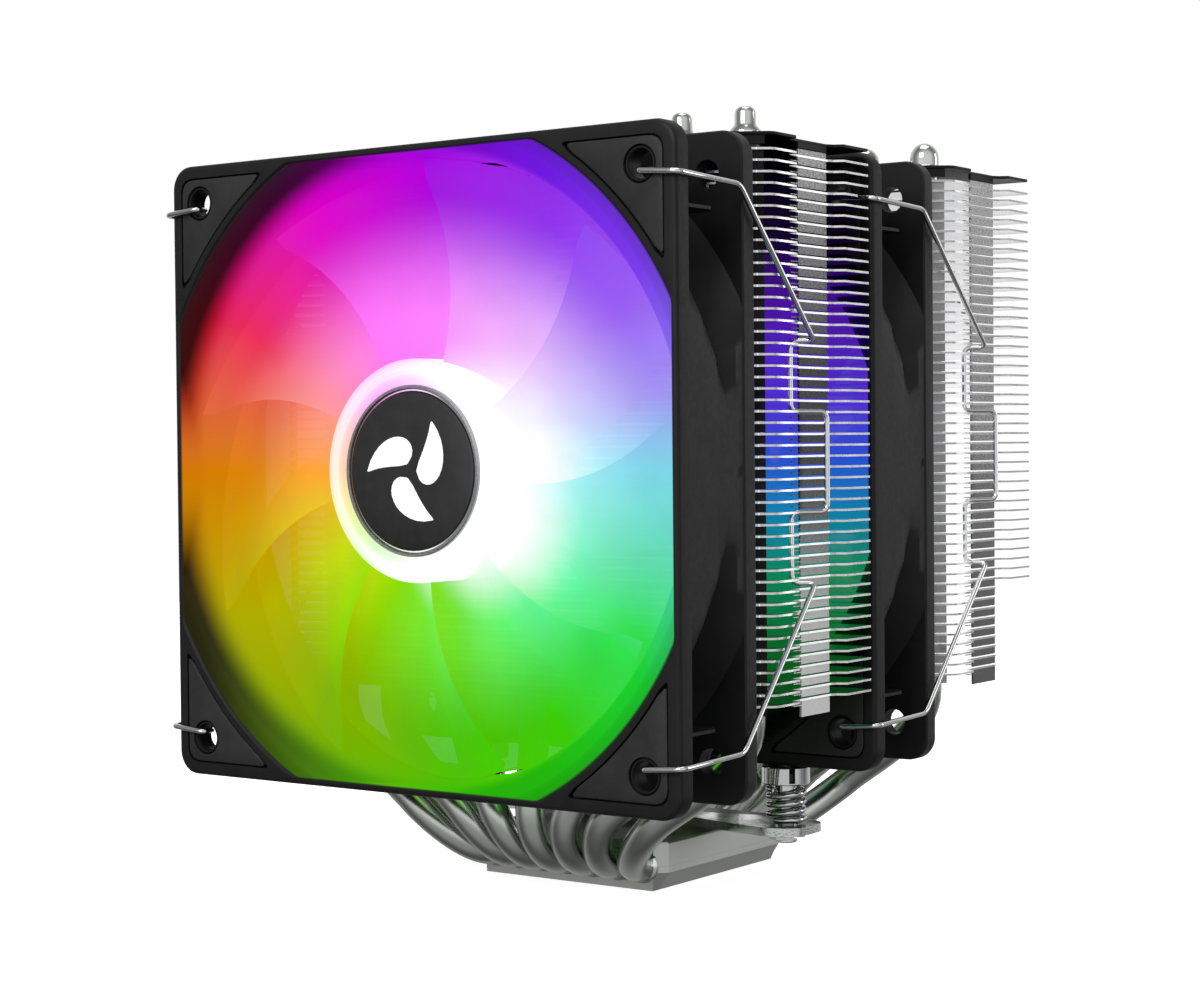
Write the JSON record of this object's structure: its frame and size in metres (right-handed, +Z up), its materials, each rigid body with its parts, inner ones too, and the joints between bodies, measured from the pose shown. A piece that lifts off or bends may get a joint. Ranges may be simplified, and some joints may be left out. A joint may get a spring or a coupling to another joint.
{
  "type": "cpu tower cooler",
  "caption": "Dual-tower processor cooler: a nickel-plated base and bent heat pipes carry two finned towers, cooled by square lit fans held with wire clips.",
  "frame": {"origin": "centre of the cold plate's contact face", "axes": "+Z up, away from the processor; -Y towards the front fan's intake side; +X to the right seen from the front"},
  "size_m": [0.123, 0.1372, 0.1496],
  "materials": {
    "nickel": "satin",
    "aluminium": "satin",
    "black_fin": "satin",
    "polished_steel": "polished",
    "spring_steel": "polished",
    "frame_plastic": "matte",
    "pad_rubber": "matte",
    "impeller_plastic": "frosted",
    "badge_black": "gloss",
    "bearing_bronze": "satin",
    "copper_winding": "satin",
    "magnet": "matte",
    "circuit_board": "satin"
  },
  "bodies": {
    "cooler": {"cold_plate": "nickel", "base_cover": "nickel", "heat_pipe_1": "nickel", "heat_pipe_2": "nickel", "heat_pipe_3": "nickel", "heat_pipe_4": "nickel", "heat_pipe_5": "nickel", "heat_pipe_6": "nickel", "heat_pipe_7": "nickel", "fin_stack_front": "aluminium", "fin_stack_rear": "aluminium", "top_fin_front": "black_fin", "top_fin_rear": "black_fin", "crossbar": "polished_steel", "crossbar_screw_left": "polished_steel", "crossbar_screw_right": "polished_steel", "screw_spring_left": "spring_steel", "screw_spring_right": "spring_steel", "front_fan_frame": "frame_plastic", "front_fan_stator": "copper_winding", "front_fan_bearing": "bearing_bronze", "front_fan_light_board": "circuit_board", "middle_fan_frame": "frame_plastic", "middle_fan_stator": "copper_winding", "middle_fan_bearing": "bearing_bronze", "middle_fan_light_board": "circuit_board", "front_fan_front_pad_top_right": "pad_rubber", "front_fan_front_pad_top_left": "pad_rubber", "front_fan_front_pad_bottom_left": "pad_rubber", "front_fan_front_pad_bottom_right": "pad_rubber", "front_fan_rear_pad_top_right": "pad_rubber", "front_fan_rear_pad_top_left": "pad_rubber", "front_fan_rear_pad_bottom_left": "pad_rubber", "front_fan_rear_pad_bottom_right": "pad_rubber", "middle_fan_front_pad_top_right": "pad_rubber", "middle_fan_front_pad_top_left": "pad_rubber", "middle_fan_front_pad_bottom_left": "pad_rubber", "middle_fan_front_pad_bottom_right": "pad_rubber", "middle_fan_rear_pad_top_right": "pad_rubber", "middle_fan_rear_pad_top_left": "pad_rubber", "middle_fan_rear_pad_bottom_left": "pad_rubber", "middle_fan_rear_pad_bottom_right": "pad_rubber"},
    "front_impeller": {"front_fan_impeller": "impeller_plastic", "front_fan_badge": "badge_black", "front_fan_badge_ring": "polished_steel", "front_fan_shaft": "spring_steel", "front_fan_magnet_ring": "magnet"},
    "middle_impeller": {"middle_fan_impeller": "impeller_plastic", "middle_fan_badge": "badge_black", "middle_fan_badge_ring": "polished_steel", "middle_fan_shaft": "spring_steel", "middle_fan_magnet_ring": "magnet"},
    "front_clip_left": {"front_fan_clip_left": "polished_steel"},
    "front_clip_right": {"front_fan_clip_right": "polished_steel"},
    "middle_clip_left": {"middle_fan_clip_left": "polished_steel"},
    "middle_clip_right": {"middle_fan_clip_right": "polished_steel"},
    "ring_left": {"retaining_ring_left": "spring_steel"},
    "screw_left": {"mounting_screw_left": "polished_steel"},
    "ring_right": {"retaining_ring_right": "spring_steel"},
    "screw_right": {"mounting_screw_right": "polished_steel"}
  },
  "joints": [
    {"name": "front_fan_spin", "type": "hinge", "parent": "cooler", "child": "front_impeller", "pos_m": [0, -0.0705, 0.0832], "axis": [0, 1, 0], "continuous": true},
    {"name": "middle_fan_spin", "type": "hinge", "parent": "cooler", "child": "middle_impeller", "pos_m": [0, -0.00285, 0.0838], "axis": [0, 1, 0], "continuous": true},
    {"name": "front_clip_left_swing", "type": "hinge", "parent": "cooler", "child": "front_clip_left", "pos_m": [-0.0525, -0.0705, 0.0832], "axis": [0, 0, 1], "range_deg": [0, 25]},
    {"name": "front_clip_right_swing", "type": "hinge", "parent": "cooler", "child": "front_clip_right", "pos_m": [0.0525, -0.0705, 0.0832], "axis": [0, 0, -1], "range_deg": [0, 25]},
    {"name": "middle_clip_left_swing", "type": "hinge", "parent": "cooler", "child": "middle_clip_left", "pos_m": [-0.0525, -0.00285, 0.0838], "axis": [0, 0, 1], "range_deg": [0, 25]},
    {"name": "middle_clip_right_swing", "type": "hinge", "parent": "cooler", "child": "middle_clip_right", "pos_m": [0.0525, -0.00285, 0.0838], "axis": [0, 0, -1], "range_deg": [0, 25]},
    {"name": "screw_left_press", "type": "slide", "parent": "cooler", "child": "ring_left", "axis": [0, 0, -1], "range_m": [0, 0.0025], "stiffness_N_per_m": 2000, "springref_m": -0.0005, "deforming": ["screw_spring_left"]},
    {"name": "screw_left_turn", "type": "hinge", "parent": "ring_left", "child": "screw_left", "pos_m": [-0.038, 0, 0.0213], "axis": [0, 0, 1], "continuous": true},
    {"name": "screw_right_press", "type": "slide", "parent": "cooler", "child": "ring_right", "axis": [0, 0, -1], "range_m": [0, 0.0025], "stiffness_N_per_m": 2000, "springref_m": -0.0005, "deforming": ["screw_spring_right"]},
    {"name": "screw_right_turn", "type": "hinge", "parent": "ring_right", "child": "screw_right", "pos_m": [0.038, 0, 0.0213], "axis": [0, 0, 1], "continuous": true}
  ]
}
